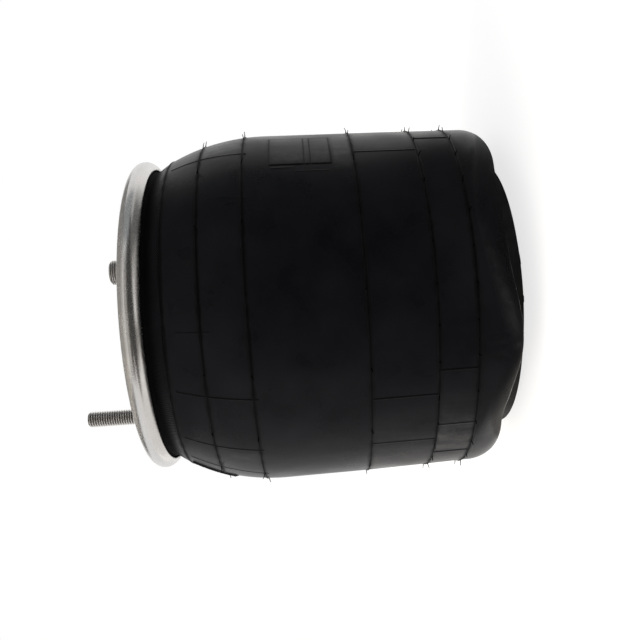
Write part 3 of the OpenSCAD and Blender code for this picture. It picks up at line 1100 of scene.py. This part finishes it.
    def build_leg(self, material: Material) -> Object:
        """Builds the leg that lies on the piston, up to the lower bead.

        Args:
            material: finish of the rubber.

        Returns:
            The piece.
        """
        line = self.line
        seat_c = (line.leg_r - line.gap - line.seat_round, line.seat_z - line.gap - line.seat_round)
        inner = line.seat_round + line.gap
        bead_c = (line.inner_r, line.seat_z - line.bead_inset - line.gap)
        upright = np.linspace(self.leg_foot, seat_c[1], self.leg_rows)
        section = [(line.leg_r, z) for z in upright]
        section += arc(seat_c, inner, 0.0, 90.0, 12)[1:]
        section += [(bead_c[0] + line.bead_r + line.bead_step, line.seat_z)]
        section += arc(bead_c, line.bead_r, 15.0, -HALF_TURN, 14)
        section += [(bead_c[0] - line.bead_r, line.seat_z + line.wall)]
        section += arc(seat_c, inner + line.wall, 90.0, 0.0, 12)
        section += [(line.leg_r + line.wall, z) for z in upright[-2::-1]]
        angles = np.radians(np.arange(0.0, 360.0, 2.5))
        piece = grid("sleeve_leg", revolve(section, angles), True, 60.0)
        dress(piece, material)
        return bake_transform(piece)

    def build_hairs(self, material: Material) -> Object:
        """Builds the thin vent hairs that the mould leaves along its lines.

        Args:
            material: finish of the rubber.

        Returns:
            The piece with all hairs.
        """
        draw = np.random.default_rng(SEED)
        hairs = []
        for ring, step in zip(self.rings[1:], self.hair_steps):
            for angle in np.arange(self.hair_phase, self.hair_phase + 360.0, step):
                spot = angle + draw.uniform(-1.2, 1.2), ring + draw.uniform(-0.3, 0.3)
                hairs.append(Hair(*spot, draw.uniform(*self.hair_length), self.hair_r))
                hairs.append(Hair(*spot, draw.uniform(*self.knot_length), draw.uniform(*self.knot_r)))
                between = spot[0] + draw.uniform(*self.stub_apart), ring + draw.uniform(-0.2, 0.2)
                hairs.append(Hair(*between, draw.uniform(*self.stub_length), draw.uniform(*self.stub_r)))
        points: list[Array] = []
        faces: list[list[int]] = []
        for hair in hairs:
            self.add_hair(points, faces, hair, draw)
        piece = make("vent_hairs", np.array(points), faces, 60.0)
        dress(piece, material)
        return self.bend(piece)

    def add_hair(
        self, points: list[Array], faces: list[list[int]], hair: Hair, draw: np.random.Generator
    ) -> None:
        """Adds one bent and tapered hair.

        Args:
            points: list that gets its points.
            faces: list that gets its faces.
            hair: place and size.
            draw: source of its lean.
        """
        sides, levels, first = self.hair_sides, self.hair_levels, len(points)
        turn = math.radians(hair.angle)
        out = np.array([math.cos(turn), math.sin(turn), 0.0])
        side = np.array([-math.sin(turn), math.cos(turn), 0.0])
        up = np.array([0.0, 0.0, 1.0])
        foot = out * (self.line.radius(hair.height) - self.hair_sink) + up * hair.height
        lean = up * draw.uniform(-0.3, 0.3) + side * draw.uniform(-0.25, 0.25)
        for level in range(levels):
            share = level / (levels - 1)
            centre = foot + out * (hair.length * share) + lean * (hair.length * share * share)
            wide = hair.radius * (1.0 - self.hair_taper * share)
            for spin in math.tau * np.arange(sides) / sides:
                points.append(centre + wide * (side * math.cos(spin) + up * math.sin(spin)))
        for low in range(first, first + (levels - 1) * sides, sides):
            for step in range(sides):
                here, beside = low + step, low + (step + 1) % sides
                faces.append([here, beside, beside + sides, here + sides])
        faces.append([first + step for step in reversed(range(sides))])
        faces.append([first + (levels - 1) * sides + step for step in range(sides)])


@dataclass
class BeadPlate:
    """Sheet-steel plate whose edge is rolled round the sleeve's upper bead."""

    line: SleeveLine
    flank_from: float = -34.0
    flank_to: float = -52.0
    flank_r: float = 16.0
    waviness: float = 0.06
    disc_rows: tuple[float, ...] = (12.0, 40.0, 70.0, 95.0, 106.0)

    def section(self) -> list[Point]:
        """Section from the middle of the face round the rolled edge to the middle of the underside.

        The roll flattens into a flank towards its lip, as a pressed crimp does.

        Returns:
            Radius and height of each point.
        """
        centre, radius, sheet = self.line.roll_centre, self.line.roll_r, self.line.sheet
        top = self.line.plate_top
        turn, end = math.radians(self.flank_from), math.radians(self.flank_to)
        shift = self.flank_r - radius
        flank_c = (centre[0] - shift * math.cos(turn), centre[1] - shift * math.sin(turn))
        half = sheet / 2
        middle = self.flank_r - half
        tip = (flank_c[0] + middle * math.cos(end), flank_c[1] + middle * math.sin(end))
        face = [(r, top) for r in self.disc_rows]
        under = [(r, top - sheet) for r in reversed(self.disc_rows)]
        outer = arc(centre, radius, 90.0, self.flank_from, 32)
        flank = arc(flank_c, self.flank_r, self.flank_from, self.flank_to, 12)[1:]
        lip = arc(tip, half, self.flank_to, self.flank_to - HALF_TURN, 8)[1:-1]
        back = arc(flank_c, self.flank_r - sheet, self.flank_to, self.flank_from, 6)
        inner = arc(centre, radius - sheet, self.flank_from, 90.0, 20)[1:]
        return face + outer + flank + lip + back + inner + under

    def build(self, material: Material) -> Object:
        """Builds the plate on the upper end.

        Args:
            material: finish of the sheet.

        Returns:
            The piece.
        """
        angles = np.radians(np.arange(0.0, 360.0, 1.0))
        points = revolve(self.section(), angles)
        swing = np.sin(2 * angles + 0.6) + 0.5 * np.sin(5 * angles)
        wave = 1.0 + self.waviness / self.line.roll_centre[0] * swing
        points[:, :, :2] *= wave[None, :, None]
        piece = grid("bead_plate_sheet", points, False, 35.0)
        dress(piece, material)
        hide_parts("bead_plate")
        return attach(piece, "upper_end")


@dataclass
class Stud:
    """Threaded stud through the bead plate, with its head below and a weld at its foot."""

    node: str
    name: str
    line: SleeveLine
    thread_r: float
    pitch: float
    bore_r: float = 0.0
    columns: int = 84
    collar: float = 1.0
    weld: float = 1.1
    chamfer: float = 1.5
    head_round: float = 0.6
    head_bevel: float = 0.4
    thread_depth: float = 0.6134
    run_in: float = 1.2
    rows_per_turn: int = 10
    flat_share: float = 0.24
    bore_pitch: float = 1.41
    bore_depth: float = 0.5
    bore_rows: int = 8
    bore_thread: float = 18.0
    bore_run_out: float = 4.0
    bore_mouth: float = 0.9
    bore_foot: float = 0.4
    bore_dark: float = 0.6

    def __post_init__(self) -> None:
        """Takes the stud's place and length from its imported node."""
        low, high = node_box(self.node)
        self.axis = (low + high) / 2
        self.head_r = (high[0] - low[0]) / 2
        self.foot, self.tip = low[2], high[2]

    def thread_cut(self, height: Array, angle: Array, pitch: float) -> Array:
        """Winds a thread with flat crests and roots.

        Args:
            height: height of each row.
            angle: angle of each column, in radians.
            pitch: rise of the thread in one turn.

        Returns:
            Depth of the cut as a share of its full depth.
        """
        phase = (height / pitch - angle / math.tau) % 1.0
        slope = np.abs(2.0 * phase - 1.0)
        return np.clip((slope - self.flat_share) / (1.0 - 2.0 * self.flat_share), 0.0, 1.0)

    def outside(self, angle: Array) -> tuple[Array, Array, Array]:
        """Shapes the rows from the head to the tip.

        Args:
            angle: angle of each column, in radians.

        Returns:
            Radius, height and thread depth, by row and column.
        """
        top, under = self.line.plate_top, self.line.plate_top - self.line.sheet
        start, collar_r = top + self.weld, self.thread_r + self.collar
        plain = np.array([
            (self.head_r - self.head_round, self.foot), (self.head_r, self.foot + self.head_round),
            (self.head_r, under - self.head_bevel), (self.head_r - self.head_bevel, under),
            (collar_r, under), (collar_r, top - 0.1), (self.thread_r + self.weld + 0.5, top + 0.1),
            (self.thread_r + 0.5 * self.weld, top + 0.45 * self.weld), (self.thread_r + 0.15, start),
        ])
        rows = np.arange(start + 0.2, self.tip - 0.02, self.pitch / self.rows_per_turn)
        rows = np.append(rows, self.tip)[:, None]
        cut = self.thread_cut(rows, angle, self.pitch)
        cut = cut * np.clip((rows - start) / (self.run_in * self.pitch), 0.0, 1.0)
        limit = self.thread_r - self.chamfer + (self.tip - rows)
        radius = np.minimum(self.thread_r - self.thread_depth * self.pitch * cut, limit)
        flat = np.zeros_like(angle)
        wide = np.concatenate([plain[:, :1] + flat, radius])
        high = np.concatenate([plain[:, 1:] + flat, rows + flat])
        return wide, high, np.concatenate([np.zeros((len(plain), len(angle))), cut])

    def bore(self, angle: Array) -> tuple[Array, Array]:
        """Shapes the rows down the threaded air passage, from the tip to the head.

        Args:
            angle: angle of each column, in radians.

        Returns:
            Radius and height, by row and column.
        """
        flat = np.zeros((1, len(angle)))
        rows = np.arange(self.tip - 0.5, self.foot + 1.0, -self.bore_pitch / self.bore_rows)[:, None]
        left = np.clip((self.bore_thread - (self.tip - rows)) / self.bore_run_out, 0.0, 1.0)
        cut = self.bore_depth * self.bore_pitch * left * self.thread_cut(rows, angle, self.bore_pitch)
        mouth, foot = self.bore_r + self.bore_mouth, self.bore_r + self.bore_foot
        wide = np.concatenate([mouth + flat, self.bore_r + cut, foot + flat])
        return wide, np.concatenate([self.tip + flat, rows + flat, self.foot + flat])

    def build(self, material: Material) -> Object:
        """Builds the stud on the upper end.

        Args:
            material: finish of the stud.

        Returns:
            The piece.
        """
        angle = np.radians(np.arange(self.columns) * 360.0 / self.columns)
        radius, height, cut = self.outside(angle)
        hollow = self.bore_r > 0.0
        if hollow:
            bore_r, bore_z = self.bore(angle)
            radius, height = np.concatenate([radius, bore_r]), np.concatenate([height, bore_z])
            cut = np.concatenate([cut, np.full_like(bore_r, self.bore_dark)])
        points = wrap(radius, height, angle)
        points[:, :, :2] += self.axis[:2]
        piece = grid(self.name, points, hollow, 50.0)
        mark(piece, "root", cut)
        dress(piece, material)
        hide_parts(self.node)
        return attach(piece, "upper_end")


@dataclass
class CarriedNodes:
    """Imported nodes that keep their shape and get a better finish, by the name of that finish."""

    finishes: dict[str, Material]
    groups: tuple[tuple[str, tuple[str, ...]], ...] = (
        ("inner_steel", ("end_closure", "centre_stud", "bumper_washer", "bumper_nut")),
        ("inner_steel", ("compression_tube", "piston_washer", "piston_nut")),
        ("bead_wire", ("upper_bead_wire", "lower_bead_wire")),
        ("bumper_rubber", ("bumper",)),
        ("piston_plastic", ("piston",)),
        ("insert_brass", ("base_insert_left", "base_insert_right")),
    )

    def build(self) -> list[str]:
        """Dresses each node and returns the names of those that were done."""
        for finish, names in self.groups:
            for name in names:
                dress(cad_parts[name], self.finishes[finish])
        return [name for _, names in self.groups for name in names]


@dataclass(frozen=True)
class Lamp:
    """Soft rectangular lamp that looks at the middle of the part. Places and sizes are in metres."""

    name: str
    place: Place
    size: Point
    power: float
    tint: Place = (1.0, 1.0, 1.0)


@dataclass(frozen=True)
class Card:
    """Flat surface of the studio, in metres.

    Its front faces up until it is tipped about X and then turned about Z.
    """

    name: str
    place: Place
    size: Point
    tip: float
    level: float
    turn: float = 0.0
    glow: float = 0.0
    warm: float = 0.0


@dataclass
class Studio:
    """White floor and surroundings, soft lamps, cards that only reflections show, and the camera.

    The cards' places are given before the studio is turned to the camera.
    """

    camera_place: Place = (0.1476, -0.5984, 0.1529)
    camera_turn: float = 15.0
    camera_pitch: float = -1.026
    camera_roll: float = -93.77
    lens: float = 43.77
    sensor: float = 36.0
    clip: Point = (0.01, 60.0)
    aim: Place = (0.0, 0.0, 0.15)
    floor: Card = Card("floor", (0.0, 0.0, -0.0006), (14.0, 14.0), 0.0, 0.96, glow=0.70)
    cards: tuple[Card, ...] = (
        Card("dark_card", (0.19, -1.1, 0.21), (2.43, 0.42), 90.0, 0.05),
        Card("shoulder_card", (0.0, -1.25, 0.8), (2.43, 0.7), 90.0, 0.30),
        Card("dark_floor", (0.4525, -0.69, 0.003), (1.905, 0.82), 0.0, 0.05),
        Card("lip_floor", (0.385, -0.165, 0.004), (0.33, 0.39), 0.0, 0.14),
        Card("grey_floor", (0.75, -0.45, 0.002), (1.0, 1.2), 0.0, 0.48),
        Card("corner_mat", (0.18, -0.1725, 0.003), (0.08, 0.255), 0.0, 0.42),
        Card("strip_mat", (-0.115, -0.2475, 0.003), (0.17, 0.065), 0.0, 0.22),
        Card("grey_wall", (1.3, -0.45, 0.6), (1.2, 1.2), 90.0, 0.23, 90.0, warm=-0.08),
        Card("white_floor", (-0.75, -0.2, 0.002), (1.0, 1.6), 0.0, 0.1, glow=0.9, warm=0.025),
        Card("grey_card", (0.0, 0.5, 1.25), (3.2, 2.0), 180.0, 0.22),
        Card("pale_card", (0.0, -0.75, 1.25), (3.2, 0.5), 180.0, 0.38),
    )
    # Painted shadow under the fold, seen only in reflections: edges, levels, depth and lift of its strips.
    shadow_strip_edges: tuple[float, ...] = (-0.12, -0.09, -0.06, -0.03, 0.09, 0.11, 0.125, 0.14)
    shadow_strip_levels: tuple[float, ...] = (0.50, 0.38, 0.28, 0.22, 0.30, 0.42, 0.60)
    shadow_strip_depth: Point = (-0.215, 0.25)
    shadow_strip_lift: float = 0.001
    lamps: tuple[Lamp, ...] = (
        Lamp("lamp_over", (1.15, -0.25, 0.45), (1.2, 1.0), 0.6),
        Lamp("lamp_under", (-1.13, -0.32, 0.35), (1.7, 1.5), 49.0, (1.0, 0.92, 0.80)),
    )

    @staticmethod
    def spin(degrees: float, axis: str) -> Matrix:
        """Rotation about one axis."""
        return Matrix.Rotation(math.radians(degrees), 4, axis)

    def sheet(self, card: Card, before: Matrix) -> Object:
        """Builds one flat surface of the studio.

        Args:
            card: its place, size and finish.
            before: what its place is turned by.

        Returns:
            The new object, set apart from the part.
        """
        lay = before @ Matrix.Translation(card.place) @ self.spin(card.turn, "Z") @ self.spin(-card.tip, "X")
        half_x, half_y = card.size[0] / 2, card.size[1] / 2
        corners = [(x * half_x, y * half_y, 0.0) for x, y in ((-1, -1), (1, -1), (1, 1), (-1, 1))]
        mesh = bpy.data.meshes.new(card.name)
        mesh.from_pydata([lay @ Vector(corner) for corner in corners], [], [[0, 1, 2, 3]])
        made = bpy.data.objects.new(card.name, mesh)
        bpy.context.scene.collection.objects.link(made)
        dress(made, StageFinish(card.name, card.level, card.glow, card.warm).build())
        return made

    def shadow_strips(self) -> list[Card]:
        """Dark strips on the floor under the fold, darkest in the middle, seen only in reflections as painted
        shadow.
        """
        near, far = self.shadow_strip_depth
        spans = zip(self.shadow_strip_edges[:-1], self.shadow_strip_edges[1:], self.shadow_strip_levels)
        cards = []
        for number, (low, high, level) in enumerate(spans):
            place = ((low + high) / 2, (near + far) / 2, self.shadow_strip_lift)
            # Each strip is a sheet of painted shadow on the floor.
            cards.append(Card(f"mat_{number}", place, (high - low, far - near), 0.0, level))
        return cards

    def build_cards(self) -> None:
        """Hangs the cards, which neither the camera nor the lamps see."""
        turn = self.spin(self.camera_turn, "Z")
        for card in (*self.cards, *self.shadow_strips()):
            made = self.sheet(card, turn)
            made.visible_camera = False
            made.visible_diffuse = False
            made.visible_shadow = False

    def build_world(self) -> None:
        """Surrounds the part with even white light."""
        world = bpy.data.worlds.new("white_room")
        bpy.context.scene.world = world
        world.use_nodes = True
        background = world.node_tree.nodes["Background"]
        background.inputs["Color"].default_value = grey(1.0)
        background.inputs["Strength"].default_value = 1.0

    def build_lamps(self) -> None:
        """Hangs the soft lamps."""
        for lamp in self.lamps:
            light = bpy.data.lights.new(lamp.name, "AREA")
            light.shape = "RECTANGLE"
            light.size, light.size_y = lamp.size
            light.energy = lamp.power
            light.color = lamp.tint
            made = bpy.data.objects.new(lamp.name, light)
            made.location = lamp.place
            view = Vector(self.aim) - Vector(lamp.place)
            made.rotation_euler = view.to_track_quat("-Z", "Y").to_euler()
            made.visible_glossy = False
            bpy.context.scene.collection.objects.link(made)

    def build_camera(self) -> None:
        """Places the camera as in the photograph, which lays the part on its side."""
        data = bpy.data.cameras.new("camera")
        data.lens, data.sensor_width = self.lens, self.sensor
        data.clip_start, data.clip_end = self.clip
        made = bpy.data.objects.new("camera", data)
        turn, roll = self.spin(self.camera_turn, "Z"), self.spin(self.camera_roll, "Z")
        tilt = self.spin(90.0 + self.camera_pitch, "X")
        made.matrix_world = Matrix.Translation(self.camera_place) @ turn @ tilt @ roll
        bpy.context.scene.collection.objects.link(made)
        bpy.context.scene.camera = made

    def build(self) -> None:
        """Builds the whole studio."""
        bpy.context.scene.view_settings.view_transform = "Standard"
        self.sheet(self.floor, Matrix.Identity(4))
        self.build_cards()
        self.build_world()
        self.build_lamps()
        self.build_camera()


def build_finishes() -> dict[str, Material]:
    """Builds every finish of the part and returns them by name."""
    hair = {"dark": 0.0008, "light": 0.0016, "dust": 0.003, "dust_share": 0.2}
    sheet = {"brush": Brush.AROUND, "nick_share": 0.5, "marks": 0.0008}
    bronze, brass = (0.36, 0.25, 0.13, 1.0), (0.52, 0.36, 0.13, 1.0)
    pale_bronze, pale_brass = (0.52, 0.38, 0.22, 1.0), (0.70, 0.52, 0.24, 1.0)
    makers = [
        RubberFinish("cover_rubber", space=Space.REST, has_ridges=True),
        RubberFinish("leg_rubber", space=Space.REST),
        RubberFinish("hair_rubber", Space.REST, smooth=0.45, rough=0.6, gloss=0.0, **hair),
        RubberFinish("bumper_rubber", dark=0.012, light=0.024, dust=0.05, gloss=0.25),
        MetalFinish("zinc_sheet", grey(0.56, 0.025), grey(0.66, 0.025), 0.20, 0.30, **sheet),
        MetalFinish("zinc_stud", grey(0.58, 0.04), grey(0.74, 0.04), 0.12, 0.22, has_roots=True, marks=0.003),
        MetalFinish("inner_steel", grey(0.45), grey(0.60, 0.02), 0.26, 0.42),
        MetalFinish("bead_wire", bronze, pale_bronze, 0.3, 0.45, Brush.AROUND),
        MetalFinish("insert_brass", brass, pale_brass, 0.22, 0.38),
        PlasticFinish("piston_plastic"),
    ]
    return {maker.name: maker.build() for maker in makers}


def main() -> None:
    """Builds the part piece by piece, then the studio."""
    logging.basicConfig(level=logging.INFO, format="%(name)s: %(message)s")
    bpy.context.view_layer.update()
    finishes = build_finishes()
    line = SleeveLine()
    sleeve = Sleeve(line)
    mounting_stud = Stud("mounting_stud", "mounting_stud_thread", line, 6.35, 1.954)
    air_stud = Stud("air_stud", "air_stud_thread", line, 9.525, 1.5875, bore_r=5.55, columns=108)
    made = [
        sleeve.build_outside(finishes["cover_rubber"]),
        sleeve.build_leg(finishes["leg_rubber"]),
        sleeve.build_hairs(finishes["hair_rubber"]),
        BeadPlate(line).build(finishes["zinc_sheet"]),
        mounting_stud.build(finishes["zinc_stud"]),
        air_stud.build(finishes["zinc_stud"]),
    ]
    for piece in made:
        LOG.info("built %s with %d faces", piece.name, len(piece.data.polygons))
    for name in CarriedNodes(finishes).build():
        LOG.info("dressed %s", name)
    Studio().build()


if __name__ == "__main__":
    main()
